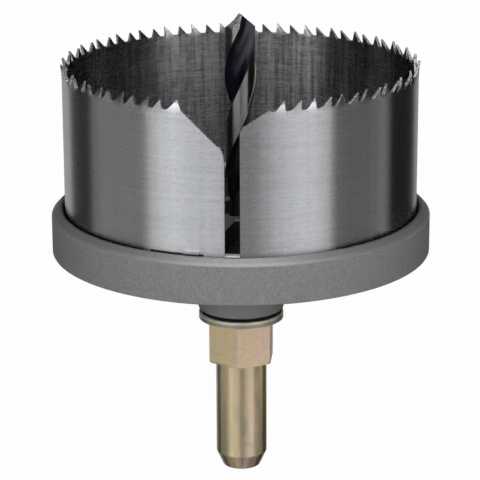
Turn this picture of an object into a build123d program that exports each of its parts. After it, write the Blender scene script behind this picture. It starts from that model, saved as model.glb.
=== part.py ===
"""Hole saw: an open ring of toothed strip in a cast holder, on a hexagon arbor with a pilot drill."""
import os
from math import acos, asin, cos, degrees, hypot, radians, sin, tan

from build123d import *

# Millimetres. The tool's axis is Z: Z = 0 is the free end of the shank, and the teeth and the
# drill point along +Z. The open joint of the blade is at the front, towards -Y. Angles round
# the axis are in degrees from -Y, counter-clockwise seen from above.

# Arbor
SHANK_DIAMETER = 10.0
SHANK_LENGTH = 22.4
LEAD_DIAMETER = 7.3
LEAD_LENGTH = 3.0
HEX_FLATS = 12.0
HEX_LENGTH = 8.7
HEX_TURN = -5.0
HEX_END_CHAMFER = 0.25
HEX_END_CHAMFER_LENGTH = 0.8
FLANGE_DIAMETER = 16.6
FLANGE_THICKNESS = 1.35
FLANGE_ROUND = 0.6
SPIGOT_DIAMETER = 12.0
SPIGOT_SINK = 2.5
SPIGOT_CHAMFER = 0.8
RELIEF_DEPTH = 0.9
RELIEF_LENGTH = 1.6

# Washer between the flange and the holder's boss
WASHER_DIAMETER = 16.0
WASHER_THICKNESS = 0.65
WASHER_CLEARANCE = 0.15

# Holder
BOSS_DIAMETER = 16.8
BOSS_LENGTH = 12.4
BOSS_EDGE_ROUND = 0.5
BOSS_ROOT_ROUND = 1.5
BASE_THICKNESS = 3.1
BASE_EDGE_ROUND = 0.3
RIM_HEIGHT = 8.6
RIM_WIDTH = 2.4
RIM_CHAMFER = 1.3
LIP_HEIGHT = 8.1
LIP_WIDTH = 1.8
GROOVE_DEPTH = 5.0
GROOVE_WIDTH = 1.8
GROOVE_CLEARANCE = 0.2
HUB_DIAMETER = 16.8
HUB_HEIGHT = 7.8
RIB_COUNT = 6
RIB_WIDTH = 2.3
THREAD_CLEARANCE = 0.05

# Blade
BLADE_DIAMETER = 68.0
BLADE_HEIGHT = 33.5
STRIP_THICKNESS = 0.7
GAP_WIDTH = 2.8
GAP_ANGLE = -2.6
LEFT_NOTCH_WIDTH = 7.7
LEFT_NOTCH_DEPTH = 9.4
LEFT_KNEE_WIDTH = 1.2
LEFT_KNEE_DEPTH = 3.1
RIGHT_NOTCH_WIDTH = 4.86
RIGHT_NOTCH_DEPTH = 3.7
RIGHT_KNEE_WIDTH = 0.45
RIGHT_KNEE_DEPTH = 0.83
TOOTH_PITCH = 2.938
TOOTH_HEIGHT = 1.85
TOOTH_LENGTH = 2.0
TOOTH_TIP = 0.12
TOOTH_SET = 0.45
TOOTH_RELIEF = 0.03
NOTCH_MARGIN = 1.34

# Locking tabs, lanced out of the foot of the blade
TAB_COUNT = 3
TAB_ANGLE = -15.2
TAB_WIDTH = 2.9
TAB_HEIGHT = 3.6
TAB_ABOVE_RIM = 0.7
TAB_SPRING = 0.45
TAB_GAP = 0.12
POCKET_MARGIN = 0.35
POCKET_DEPTH = 0.9

# Pilot drill
DRILL_DIAMETER = 6.0
DRILL_LENGTH = 70.0
DRILL_REACH = 9.0
DRILL_POINT_ANGLE = 118.0
LIP_OFFSET = 1.2
FLUTE_LENGTH = 46.0
FLUTE_LEAD = 40.0
FLUTE_RADIUS = 2.8
FLUTE_ANGLE = 70.0
WEB_THICKNESS = 1.2
LAND_RELIEF = 0.1
MARGIN_WIDTH = 0.55
BORE_CLEARANCE = 0.03
DRILL_FLAT_DEPTH = 0.35
DRILL_FLAT_MARGIN = 0.5

# Set screw
SCREW_DIAMETER = 5.0
SCREW_FACE = 2
SCREW_SINK = 0.3
SOCKET_FLATS = 2.5
SOCKET_DEPTH = 1.4

# Levels along the axis, from the free end of the shank up
HEX_TOP = SHANK_LENGTH + HEX_LENGTH
FLANGE_TOP = HEX_TOP + FLANGE_THICKNESS
BOSS_BOTTOM = FLANGE_TOP + WASHER_THICKNESS
BASE_BOTTOM = BOSS_BOTTOM + BOSS_LENGTH
FLOOR = BASE_BOTTOM + BASE_THICKNESS
RIM_TOP = BASE_BOTTOM + RIM_HEIGHT
LIP_TOP = BASE_BOTTOM + LIP_HEIGHT
HUB_TOP = BASE_BOTTOM + HUB_HEIGHT
BLADE_FOOT = RIM_TOP - GROOVE_DEPTH
TOOTH_TOP = BLADE_FOOT + BLADE_HEIGHT
GULLET = TOOTH_TOP - TOOTH_HEIGHT
DRILL_TOP = TOOTH_TOP + DRILL_REACH
DRILL_FOOT = DRILL_TOP - DRILL_LENGTH
SCREW_LEVEL = SHANK_LENGTH + HEX_LENGTH / 2
SPIGOT_TOP = HUB_TOP - SPIGOT_SINK
TAB_TOP = RIM_TOP + TAB_ABOVE_RIM
TAB_ROOT = TAB_TOP - TAB_HEIGHT
FLUTE_FOOT = DRILL_TOP - FLUTE_LENGTH

# Radii shared by pieces that meet
BLADE_RADIUS = BLADE_DIAMETER / 2
BLADE_INNER = BLADE_RADIUS - STRIP_THICKNESS
GROOVE_OUTER = BLADE_RADIUS + GROOVE_CLEARANCE
GROOVE_INNER = GROOVE_OUTER - GROOVE_WIDTH
RIM_RADIUS = GROOVE_OUTER + RIM_WIDTH
LIP_INNER = GROOVE_INNER - LIP_WIDTH
DRILL_RADIUS = DRILL_DIAMETER / 2

# Distance from the drill's axis to the middle of a flute's round section
FLUTE_MIDDLE = WEB_THICKNESS / 2 + FLUTE_RADIUS


def turned(*points):
    """A solid of revolution about Z from the corners (radius, height) of half of its section."""
    section = Plane.XZ * make_face(Polyline(*points, close=True))
    return revolve(section, Axis.Z)


def disc(radius, low, high):
    """A plain cylinder on the axis between two heights."""
    return Pos(0, 0, low) * extrude(Circle(radius), high - low)


def block(left, right, inner, outer, low, high):
    """A box at the front: left and right along X, from an inner to an outer distance off the axis."""
    corner = Pos((left + right) / 2, -(inner + outer) / 2, (low + high) / 2)
    return corner * Box(right - left, outer - inner, high - low)


def turn(angle):
    """The placement that carries something from the front round the axis by an angle."""
    return Rot(0, 0, angle)


def circles(solid, radius, height):
    """The round edges of a turned solid at one radius and height."""
    edges = solid.edges().filter_by(GeomType.CIRCLE)
    level = edges.filter_by_position(Axis.Z, height - 0.01, height + 0.01)
    return [edge for edge in level if abs(edge.radius - radius) < 0.01]


def bent_leaf(foot_left, foot_right, top_left, top_right, height, lean):
    """A leaf of the strip that stands at the front on Z = 0 and leans out by lean at its top.

    It is thinner than the strip by TOOTH_RELIEF on each side, so its foot lies within the strip.
    """
    inner = BLADE_INNER + TOOTH_RELIEF
    outer = BLADE_RADIUS - TOOTH_RELIEF
    middle = -(inner + outer) / 2
    foot_middle = (foot_left + foot_right) / 2
    top_middle = (top_left + top_right) / 2
    foot = Pos(foot_middle, middle, 0) * Rectangle(foot_right - foot_left, outer - inner)
    top = Pos(top_middle, middle - lean, height) * Rectangle(top_right - top_left, outer - inner)
    return loft([foot.face(), top.face()], ruled=True)


def joint_sides():
    """Left and right X of the open joint of the blade, at the front."""
    middle = BLADE_RADIUS * sin(radians(GAP_ANGLE))
    return middle - GAP_WIDTH / 2, middle + GAP_WIDTH / 2


def joint_cutter():
    """The open joint of the blade and the V notch above it, as a prism towards -Y."""
    left, right = joint_sides()
    below = BLADE_FOOT - GAP_WIDTH
    above = TOOTH_TOP + TOOTH_HEIGHT
    left_foot = (left, GULLET - LEFT_NOTCH_DEPTH)
    left_knee = (left - LEFT_KNEE_WIDTH, GULLET - LEFT_NOTCH_DEPTH + LEFT_KNEE_DEPTH)
    right_foot = (right, GULLET - RIGHT_NOTCH_DEPTH)
    right_knee = (right + RIGHT_KNEE_WIDTH, GULLET - RIGHT_NOTCH_DEPTH + RIGHT_KNEE_DEPTH)
    left_end = left - LEFT_NOTCH_WIDTH
    right_end = right + RIGHT_NOTCH_WIDTH
    curve = TangentArc(left_foot, left_knee, tangent=(0, 1))
    slopes = Polyline(
        left_knee,
        (left_end, GULLET),
        (left_end, above),
        (right_end, above),
        (right_end, GULLET),
        right_knee,
        right_foot,
        (right, below),
        (left, below),
        left_foot,
    )
    outline = Plane.XZ * make_face(curve + slopes)
    return extrude(outline, BLADE_RADIUS + STRIP_THICKNESS)


def notch_ends():
    """Angles of the notch's right end and, a full turn on, of its left end, at the gullets."""
    left, right = joint_sides()
    right_end = degrees(asin((right + RIGHT_NOTCH_WIDTH) / BLADE_RADIUS))
    left_end = degrees(asin((left - LEFT_NOTCH_WIDTH) / BLADE_RADIUS)) + 360
    return right_end, left_end


def tooth_angles():
    """Angles of the cutting edges, from the right of the notch round to its left."""
    right_end, left_end = notch_ends()
    pitch = degrees(TOOTH_PITCH / BLADE_RADIUS)
    first = right_end + degrees((NOTCH_MARGIN + TOOTH_LENGTH) / BLADE_RADIUS)
    count = int((left_end - first) / pitch) + 1
    return [first + pitch * place for place in range(count)]


def tab_angles():
    """Angles of the locking tabs and of their pockets in the rim."""
    return [TAB_ANGLE + 360 * place / TAB_COUNT for place in range(TAB_COUNT)]


def saw_blade():
    """Toothed strip bent into an open ring: its teeth are set out and in by turns.

    The last tooth's cutting face slopes down to the notch, so its foot is longer.
    """
    ring = disc(BLADE_RADIUS, BLADE_FOOT, GULLET) - disc(BLADE_INNER, BLADE_FOOT, GULLET)
    ring -= joint_cutter()
    half_tab = TAB_WIDTH / 2
    window = block(
        -half_tab - TAB_GAP,
        half_tab + TAB_GAP,
        BLADE_INNER - STRIP_THICKNESS,
        BLADE_RADIUS + STRIP_THICKNESS,
        TAB_ROOT,
        TAB_TOP + TAB_GAP,
    )
    tab = Pos(0, 0, TAB_ROOT) * bent_leaf(
        -half_tab, half_tab, -half_tab, half_tab, TAB_HEIGHT, TAB_SPRING
    )
    out_tooth = bent_leaf(-TOOTH_LENGTH, 0, -TOOTH_TIP, 0, TOOTH_HEIGHT, TOOTH_SET)
    in_tooth = bent_leaf(-TOOTH_LENGTH, 0, -TOOTH_TIP, 0, TOOTH_HEIGHT, -TOOTH_SET)
    *angles, last_angle = tooth_angles()
    end_foot = BLADE_RADIUS * radians(notch_ends()[1] - last_angle) - TOOTH_RELIEF
    end_tooth = bent_leaf(-TOOTH_LENGTH, end_foot, -TOOTH_TIP, 0, TOOTH_HEIGHT, -TOOTH_SET)
    ring -= [turn(angle) * window for angle in tab_angles()]
    leaves = [turn(angle) * tab for angle in tab_angles()]
    for place, angle in enumerate(angles):
        tooth = in_tooth if place % 2 == 0 else out_tooth
        leaves.append(turn(angle) * Pos(0, 0, GULLET) * tooth)
    leaves.append(turn(last_angle) * Pos(0, 0, GULLET) * end_tooth)
    return ring + leaves


def blade_holder():
    """Casting: boss, base, rim with the blade's groove and tab pockets, lip, hub and ribs."""
    bore = SPIGOT_DIAMETER / 2 + THREAD_CLEARANCE
    boss = BOSS_DIAMETER / 2
    hub = HUB_DIAMETER / 2
    body = turned(
        (bore, BOSS_BOTTOM),
        (boss, BOSS_BOTTOM),
        (boss, BASE_BOTTOM),
        (RIM_RADIUS, BASE_BOTTOM),
        (RIM_RADIUS, RIM_TOP - RIM_CHAMFER),
        (RIM_RADIUS - RIM_CHAMFER, RIM_TOP),
        (GROOVE_OUTER, RIM_TOP),
        (GROOVE_OUTER, BLADE_FOOT),
        (GROOVE_INNER, BLADE_FOOT),
        (GROOVE_INNER, LIP_TOP),
        (LIP_INNER, LIP_TOP),
        (LIP_INNER, FLOOR),
        (hub, FLOOR),
        (hub, HUB_TOP),
        (bore, HUB_TOP),
    )
    body = fillet(circles(body, RIM_RADIUS, BASE_BOTTOM), BASE_EDGE_ROUND)
    body = fillet(circles(body, boss, BASE_BOTTOM), BOSS_ROOT_ROUND)
    body = fillet(circles(body, boss, BOSS_BOTTOM), BOSS_EDGE_ROUND)
    rib = block(
        -RIB_WIDTH / 2,
        RIB_WIDTH / 2,
        (bore + hub) / 2,
        (LIP_INNER + GROOVE_INNER) / 2,
        FLOOR - BASE_THICKNESS / 2,
        HUB_TOP,
    )
    half_pocket = TAB_WIDTH / 2 + POCKET_MARGIN
    pocket = block(
        -half_pocket,
        half_pocket,
        BLADE_RADIUS - STRIP_THICKNESS / 2,
        GROOVE_OUTER + POCKET_DEPTH,
        TAB_ROOT - POCKET_MARGIN,
        RIM_TOP + RIM_CHAMFER,
    )
    body += [turn(TAB_ANGLE + 360 * place / RIB_COUNT) * rib for place in range(RIB_COUNT)]
    return body - [turn(angle) * pocket for angle in tab_angles()]


def screw_axis():
    """The placement of the set screw: its origin is on the drill's axis, and +Z points out."""
    return turn(HEX_TURN + 30 + 60 * SCREW_FACE) * Pos(0, 0, SCREW_LEVEL) * Rot(90, 0, 0)


def arbor():
    """One turned piece: shank with a lead-in, hexagon, flange and threaded spigot, bored through."""
    shank = SHANK_DIAMETER / 2
    flange = FLANGE_DIAMETER / 2
    spigot = SPIGOT_DIAMETER / 2
    relief = spigot - RELIEF_DEPTH
    relief_top = FLANGE_TOP + RELIEF_LENGTH
    body = turned(
        (0, 0),
        (LEAD_DIAMETER / 2, 0),
        (shank, LEAD_LENGTH),
        (shank, HEX_TOP),
        (flange, HEX_TOP),
        (flange, FLANGE_TOP),
        (relief, FLANGE_TOP),
        (relief, relief_top),
        (spigot, relief_top + RELIEF_DEPTH),
        (spigot, SPIGOT_TOP - SPIGOT_CHAMFER),
        (spigot - SPIGOT_CHAMFER, SPIGOT_TOP),
        (0, SPIGOT_TOP),
    )
    body = fillet(circles(body, flange, FLANGE_TOP), FLANGE_ROUND)
    corner = HEX_FLATS / 2 / cos(radians(30))
    hexagon = RegularPolygon(corner, 6, rotation=HEX_TURN - 90)
    bar = Pos(0, 0, SHANK_LENGTH) * extrude(hexagon, HEX_LENGTH)
    envelope = turned(
        (0, SHANK_LENGTH),
        (corner - HEX_END_CHAMFER, SHANK_LENGTH),
        (corner + HEX_END_CHAMFER, SHANK_LENGTH + 2 * HEX_END_CHAMFER_LENGTH),
        (corner + HEX_END_CHAMFER, HEX_TOP),
        (0, HEX_TOP),
    )
    body += bar & envelope
    body -= disc(DRILL_RADIUS + BORE_CLEARANCE, DRILL_FOOT, SPIGOT_TOP)
    tapping = SCREW_DIAMETER / 2 + THREAD_CLEARANCE
    return body - screw_axis() * extrude(Circle(tapping), corner)


def flange_washer():
    """Thin washer between the arbor's flange and the holder's boss."""
    bore = SPIGOT_DIAMETER / 2 + WASHER_CLEARANCE
    return disc(WASHER_DIAMETER / 2, FLANGE_TOP, BOSS_BOTTOM) - disc(bore, FLANGE_TOP, BOSS_BOTTOM)


def flute_edge():
    """Angle from a flute's middle to either of its edges, round the drill's axis."""
    side = DRILL_RADIUS**2 + FLUTE_MIDDLE**2 - FLUTE_RADIUS**2
    return degrees(acos(side / (2 * DRILL_RADIUS * FLUTE_MIDDLE)))


def flute_section():
    """Section of the fluted body of the drill, with one flute's middle along +X.

    The lands are a little under size, apart from a margin at the leading edge of each.
    """
    margin = degrees(MARGIN_WIDTH / DRILL_RADIUS)
    reach = 2 * DRILL_RADIUS
    near = radians(-flute_edge() + margin)
    far = radians(-flute_edge() - margin)
    wedge = make_face(
        Polyline(
            (0, 0),
            (reach * cos(near), reach * sin(near)),
            (reach * cos(far), reach * sin(far)),
            close=True,
        )
    )
    margins = Circle(DRILL_RADIUS) & (wedge + Rot(0, 0, 180) * wedge)
    section = Circle(DRILL_RADIUS - LAND_RELIEF) + margins
    for side in (-1, 1):
        section -= Pos(side * FLUTE_MIDDLE, 0) * Circle(FLUTE_RADIUS)
    return section


def ground_point():
    """What the drill's point is ground to, with one lip along +X.

    Each flank is part of a cone. Its axis stands LIP_OFFSET from the drill's, on the far side of
    the lip, so that the flank falls away behind the lip and the two flanks meet in a chisel edge.
    """
    fall = DRILL_RADIUS / tan(radians(DRILL_POINT_ANGLE / 2))
    slope = fall / (hypot(DRILL_RADIUS, LIP_OFFSET) - LIP_OFFSET)
    reach = DRILL_DIAMETER + LIP_OFFSET
    cone = turned(
        (0, FLUTE_FOOT),
        (reach, FLUTE_FOOT),
        (reach, DRILL_TOP - (reach - LIP_OFFSET) * slope),
        (0, DRILL_TOP + LIP_OFFSET * slope),
    )
    front = block(-DRILL_DIAMETER, DRILL_DIAMETER, 0, DRILL_DIAMETER, FLUTE_FOOT, DRILL_TOP)
    flank = front & (Pos(0, LIP_OFFSET, 0) * cone)
    return flank + Rot(0, 0, 180) * flank


def pilot_drill():
    """Twist drill with two right-hand flutes, a ground point and a flat for the set screw."""
    twist = 360 * FLUTE_LENGTH / FLUTE_LEAD
    top_turn = FLUTE_ANGLE - 90
    section = Pos(0, 0, FLUTE_FOOT) * Rot(0, 0, top_turn - twist) * flute_section()
    fluted = Solid.extrude_linear_with_rotation(
        section.face(), (0, 0, FLUTE_FOOT), (0, 0, FLUTE_LENGTH), twist
    )
    fluted = fluted & Rot(0, 0, top_turn - flute_edge()) * ground_point()
    body = disc(DRILL_RADIUS, DRILL_FOOT, FLUTE_FOOT) + fluted
    flat = DRILL_RADIUS - DRILL_FLAT_DEPTH
    length = SCREW_DIAMETER + 2 * DRILL_FLAT_MARGIN
    cutter = Pos(0, 0, flat) * extrude(Rectangle(DRILL_DIAMETER, length), DRILL_RADIUS)
    return body - screw_axis() * cutter


def drill_set_screw():
    """Socket grub screw that bears on the drill's flat."""
    foot = DRILL_RADIUS - DRILL_FLAT_DEPTH
    head = HEX_FLATS / 2 - SCREW_SINK
    body = Pos(0, 0, foot) * extrude(Circle(SCREW_DIAMETER / 2), head - foot)
    socket = RegularPolygon(SOCKET_FLATS / 2 / cos(radians(30)), 6)
    return screw_axis() * (body - Pos(0, 0, head - SOCKET_DEPTH) * extrude(socket, SOCKET_DEPTH))


def main():
    """Write one STEP file for each piece."""
    os.makedirs("parts", exist_ok=True)
    pieces = (saw_blade, blade_holder, arbor, flange_washer, pilot_drill, drill_set_screw)
    for piece in pieces:
        export_step(piece(), f"parts/{piece.__name__}.step")


if __name__ == "__main__":
    main()
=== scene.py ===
from math import cos, pi, radians, sin, sqrt, tan
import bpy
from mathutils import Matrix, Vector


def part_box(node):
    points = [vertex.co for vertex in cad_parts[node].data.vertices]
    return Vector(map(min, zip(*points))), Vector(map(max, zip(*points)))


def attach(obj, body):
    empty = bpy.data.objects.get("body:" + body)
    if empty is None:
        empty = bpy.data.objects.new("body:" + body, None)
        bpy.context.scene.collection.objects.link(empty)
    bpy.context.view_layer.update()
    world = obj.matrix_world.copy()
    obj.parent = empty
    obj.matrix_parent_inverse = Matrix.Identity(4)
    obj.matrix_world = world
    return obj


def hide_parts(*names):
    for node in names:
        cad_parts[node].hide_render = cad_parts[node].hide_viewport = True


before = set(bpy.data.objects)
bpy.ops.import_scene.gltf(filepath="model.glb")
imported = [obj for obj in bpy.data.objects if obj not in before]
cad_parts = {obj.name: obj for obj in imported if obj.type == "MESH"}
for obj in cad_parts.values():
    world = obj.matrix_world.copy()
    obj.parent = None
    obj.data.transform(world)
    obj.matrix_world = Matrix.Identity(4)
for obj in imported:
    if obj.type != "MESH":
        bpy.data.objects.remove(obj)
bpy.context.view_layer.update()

from types import SimpleNamespace

import bpy
import numpy as np
from bpy.props import FloatProperty, FloatVectorProperty, IntProperty, PointerProperty
from mathutils import Matrix, Vector

bl_info = {
    "name": "Hole Saw",
    "version": (1, 0, 0),
    "blender": (4, 5, 0),
    "location": "3D View > Sidebar > Hole Saw",
    "description": "Dresses the hole saw's blade, holder, arbor and drill, and lights them",
    "category": "Object",
}

MM = 0.001
ROOT = "root"
BLADE_LOW, BLADE_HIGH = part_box("saw_blade")
HOLDER_LOW, HOLDER_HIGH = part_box("blade_holder")
_, ARBOR_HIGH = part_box("arbor")
WASHER_LOW, WASHER_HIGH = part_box("flange_washer")
DRILL_LOW, DRILL_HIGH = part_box("pilot_drill")

# Points closer than this are one point of a mesh
WELD = 0.0002 * MM
# Columns closer than this, in radians, are one column of a grid
SAME_TURN = 1e-9
# The most of a path's side that one rounded corner takes up
ARC_SHARE = 0.49
SCREW_COLUMNS = 96


# ----- Properties -----


def length(name, description, millimetres):
    """A size in metres, given in millimetres."""
    return FloatProperty(
        name=name, description=description, default=millimetres * MM, unit="LENGTH", precision=5
    )


def angle(name, description, in_degrees):
    """An angle in radians, given in degrees."""
    return FloatProperty(
        name=name, description=description, default=radians(in_degrees), unit="ROTATION"
    )


def colour(name, description, *shade):
    """A linear colour."""
    return FloatVectorProperty(
        name=name, description=description, default=shade, subtype="COLOR", size=3
    )


class BladeSettings(bpy.types.PropertyGroup):
    """Sizes and finish of the toothed strip."""

    diameter: length("Diameter", "Outer diameter of the ring", 68.0)
    strip: length("Strip", "Thickness of the strip", 0.7)
    gap: length("Gap", "Width of the open joint", 2.8)
    gap_angle: angle("Gap angle", "Middle of the open joint, from the front", -2.6)
    left_width: length("Left notch width", "Reach of the notch left of the joint", 7.7)
    left_depth: length("Left notch depth", "Depth of the notch on its left side", 9.4)
    left_knee_width: length("Left knee width", "Width of the left slope's round foot", 1.2)
    left_knee_depth: length("Left knee depth", "Height of the left slope's round foot", 3.1)
    right_width: length("Right notch width", "Reach of the notch right of the joint", 4.86)
    right_depth: length("Right notch depth", "Depth of the notch on its right side", 3.7)
    right_knee_width: length("Right knee width", "Width of the right slope's foot", 0.45)
    right_knee_depth: length("Right knee depth", "Height of the right slope's foot", 0.83)
    pitch: length("Tooth pitch", "Distance from tooth to tooth round the ring", 2.938)
    tooth_height: length("Tooth height", "Height of a tooth above its gullet", 1.85)
    tooth_length: length("Tooth length", "Length of a tooth at its root", 2.0)
    notch_margin: length("Notch margin", "From the notch to the first tooth", 1.34)
    tooth_set: length("Tooth set", "How far a tooth leans out or in at its tip", 0.42)
    tip_thinning: length("Tip thinning", "How much thinner each side is at a tip", 0.13)
    tab_angle: angle("Tab angle", "Middle of the first locking tab, from the front", -15.2)
    tab_width: length("Tab width", "Width of a locking tab", 2.9)
    tab_height: length("Tab height", "Height of a locking tab", 3.6)
    tab_above: length("Tab above rim", "How far a tab stands above the rim", 0.7)
    tab_spring: length("Tab spring", "How far a tab leans out at its top", 0.45)
    steel: colour("Steel", "Colour of the brushed steel", 0.62, 0.62, 0.635)


class HolderSettings(bpy.types.PropertyGroup):
    """Sizes and finish of the cast holder."""

    boss_length: length("Boss length", "Length of the boss under the base", 12.4)
    boss: length("Boss diameter", "Diameter of the boss and of the hub", 16.8)
    rim_width: length("Rim width", "Thickness of the rim outside the groove", 2.4)
    rim_chamfer: length("Rim chamfer", "Chamfer on the rim's outer top edge", 1.3)
    base_thickness: length("Base thickness", "Thickness of the base", 3.1)
    lip_height: length("Lip height", "Top of the inner lip above the underside", 8.1)
    lip_width: length("Lip width", "Thickness of the inner lip", 1.8)
    hub_height: length("Hub height", "Top of the hub above the underside", 7.8)
    groove: length("Groove", "Width of the blade's groove", 1.8)
    clearance: length("Groove clearance", "Play outside the blade in its groove", 0.2)
    pocket_margin: length("Pocket margin", "Play beside and under a tab in its pocket", 0.35)
    pocket_depth: length("Pocket depth", "Depth of a tab's pocket in the rim", 0.9)
    rib_width: length("Rib width", "Thickness of a rib", 2.3)
    rib_count: IntProperty(name="Ribs", description="Number of ribs", default=6, min=3)
    alloy: colour("Alloy", "Colour of the cast alloy", 0.215, 0.215, 0.215)


class ArborSettings(bpy.types.PropertyGroup):
    """Sizes and finish of the turned arbor."""

    shank: length("Shank diameter", "Diameter of the shank", 10.0)
    shank_length: length("Shank length", "From the free end to the hexagon", 22.4)
    lead: length("Lead diameter", "Diameter of the free end", 7.3)
    lead_length: length("Lead length", "Length of the lead-in taper", 3.0)
    hexagon: length("Hexagon", "Width across the flats", 12.0)
    hexagon_length: length("Hexagon length", "Length of the hexagon", 8.7)
    hexagon_turn: angle("Hexagon turn", "Angle of the nearest corner, from the front", -5.0)
    corner_round: length("Corner round", "How much the hexagon's corners are eased", 0.06)
    flange: length("Flange diameter", "Diameter of the flange", 16.6)
    spigot: length("Spigot diameter", "Diameter over the thread", 12.0)
    screw: length("Screw diameter", "Diameter of the set screw", 5.0)
    screw_face: IntProperty(name="Screw face", description="Flat that holds the screw", default=2)
    screw_sink: length("Screw sink", "How far the screw lies below the flat", 0.3)
    zinc: colour("Zinc", "Colour of the passivated zinc", 0.78, 0.64, 0.44)


class DrillSettings(bpy.types.PropertyGroup):
    """Sizes of the pilot drill."""

    diameter: length("Diameter", "Diameter of the drill", 6.0)
    flute_length: length("Flute length", "Length of the flutes", 46.0)
    flute_lead: length("Flute lead", "Rise of a flute in one turn", 40.0)
    flute_radius: length("Flute radius", "Radius of a flute's section", 2.8)
    flute_angle: angle("Flute angle", "Middle of a flute at the point, from the front", 70.0)
    web: length("Web", "Thickness of the web between the flutes", 1.2)
    land_relief: length("Land relief", "How far a land lies under its margin", 0.1)
    margin: length("Margin", "Width of a land's margin", 0.55)
    point_angle: angle("Point angle", "Angle over the point", 118.0)
    lip_offset: length("Lip offset", "From the drill's axis to the axis of a flank's cone", 1.2)
    run_out: length("Run-out", "Length over which a flute grows shallow", 6.0)


class StudioSettings(bpy.types.PropertyGroup):
    """Camera and floor."""

    distance: length("Distance", "Level distance of the camera from the tool's axis", 437.0)
    height: length("Height", "Height of the camera above the shank's end", 182.0)
    sideways: length("Sideways", "Camera's place along X", -0.17)
    pitch: angle("Pitch", "How far the camera looks down", 17.204)
    roll: angle("Roll", "Camera's turn about its line of sight", -0.235)
    lens: FloatProperty(name="Lens", description="Focal length in mm", default=176.0)
    floor_drop: length("Floor drop", "Depth of the floor under the shank's end", 60.0)


# ----- Shapes -----


def around(radius, turn, height):
    """Points at a radius, a height and an angle from -Y, counter-clockwise from above."""
    radius, turn, height = np.broadcast_arrays(radius, turn, height)
    return np.stack([radius * np.sin(turn), -radius * np.cos(turn), height], axis=-1)


def revolve(path, turn):
    """A path (r, z) carried round the axis: every point (r, z) sweeps a circle."""
    return around(path[:, 0][:, None], turn[None, :], path[:, 1][:, None])


def full_turn(columns):
    """Even angles round a whole turn."""
    return np.linspace(0, 2 * pi, columns, endpoint=False)


def directions(turn):
    """Outward and sideways unit vectors at an angle from the front."""
    return np.array([sin(turn), -cos(turn), 0.0]), np.array([cos(turn), sin(turn), 0.0])


def from_flat(turn):
    """Angle to the middle of the nearest side of a hexagon that has a corner at 0."""
    return np.mod(turn, pi / 3) - pi / 6


def polar(places):
    """Radius and angle of places (x, y)."""
    return np.hypot(places[..., 0], places[..., 1]), np.arctan2(places[..., 1], places[..., 0])


class Shell:
    """Collects grids of points and welds them into one mesh object."""

    def __init__(self):
        self.points = []
        self.faces = []
        self.worked = []
        self.count = 0

    def grid(self, points, closed_rows=False, closed_columns=False, flip=False, worked=0.0):
        """Adds quads between neighbours in a grid of points (rows, columns, 3).

        Worked is 1 where the surface was cut or ground.
        """
        rows, columns = points.shape[:2]
        row = np.arange(rows if closed_rows else rows - 1)[:, None]
        column = np.arange(columns if closed_columns else columns - 1)
        here, ahead = row * columns, (row + 1) % rows * columns
        beside = (column + 1) % columns
        corners = [here + column, here + beside, ahead + beside, ahead + column]
        faces = np.stack(corners[::-1] if flip else corners, axis=-1).reshape(-1, 4)
        self.faces.append(faces + self.count)
        self.worked.append(np.broadcast_to(worked, (rows, columns)).reshape(-1))
        self.points.append(points.reshape(-1, 3))
        self.count += rows * columns

    def bar(self, loop, side_worked=0.0, end_worked=0.0, flip=False):
        """Adds a bar whose columns are closed sections, with a strip of quads over each end."""
        self.grid(loop, closed_rows=True, flip=flip, worked=side_worked)
        half = len(loop) // 2
        for column, turned in ((0, True), (-1, False)):
            end = np.stack([loop[:half, column], loop[half:, column][::-1]], axis=1)
            self.grid(end, flip=turned, worked=end_worked)

    def build(self, name, sharp=32.0):
        """Welds equal points, drops collapsed faces and makes a smooth-shaded object."""
        points = np.concatenate(self.points)
        faces = np.concatenate(self.faces)
        keys = np.round(points / WELD).astype(np.int64)
        _, first, inverse = np.unique(keys, axis=0, return_index=True, return_inverse=True)
        faces = inverse.reshape(-1)[faces]
        same = faces == np.roll(faces, -1, axis=1)
        whole = faces[~same.any(axis=1)]
        collapsed = faces[same.sum(axis=1) == 1]
        keep = ~(collapsed == np.roll(collapsed, -1, axis=1))
        triangles = collapsed[keep].reshape(-1, 3)
        triangles = triangles[triangles[:, 0] != triangles[:, 2]]
        mesh = bpy.data.meshes.new(name)
        mesh.from_pydata(points[first].tolist(), [], whole.tolist() + triangles.tolist())
        worked = np.concatenate(self.worked)[first].astype(np.float32)
        mesh.attributes.new("worked", "FLOAT", "POINT").data.foreach_set("value", worked)
        mesh.validate()
        mesh.shade_smooth()
        mesh.set_sharp_from_angle(angle=radians(sharp))
        piece = bpy.data.objects.new(name, mesh)
        bpy.context.scene.collection.objects.link(piece)
        return piece


def round_piece(name, points, sharp=32.0):
    """One piece from one grid of points whose columns go all the way round."""
    shell = Shell()
    shell.grid(points, closed_columns=True)
    return shell.build(name, sharp)


def rounded(*corners, steps=6):
    """A path through corners (r, z, radius in mm): a corner with a radius becomes an arc."""
    path = []
    places = np.array(corners)[:, :2]
    for index, (_, _, radius) in enumerate(corners):
        here = places[index]
        if radius <= 0 or index in (0, len(corners) - 1):
            path.append(here)
            continue
        back = places[index - 1] - here
        ahead = places[index + 1] - here
        near, far = np.linalg.norm(back), np.linalg.norm(ahead)
        room = min(near, far) * ARC_SHARE
        back, ahead = back / near, ahead / far
        half = np.arccos(np.clip(back @ ahead, -1, 1)) / 2
        cut = min(radius * MM / tan(half), room)
        middle = here + (back + ahead) / np.linalg.norm(back + ahead) * (cut / cos(half))
        start = here + back * cut - middle
        end = here + ahead * cut - middle
        swing = pi - 2 * half
        share = np.linspace(0, 1, steps + 1)[:, None]
        arc = (np.sin((1 - share) * swing) * start + np.sin(share * swing) * end) / sin(swing)
        path.extend(middle + arc)
    return np.array(path)


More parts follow.
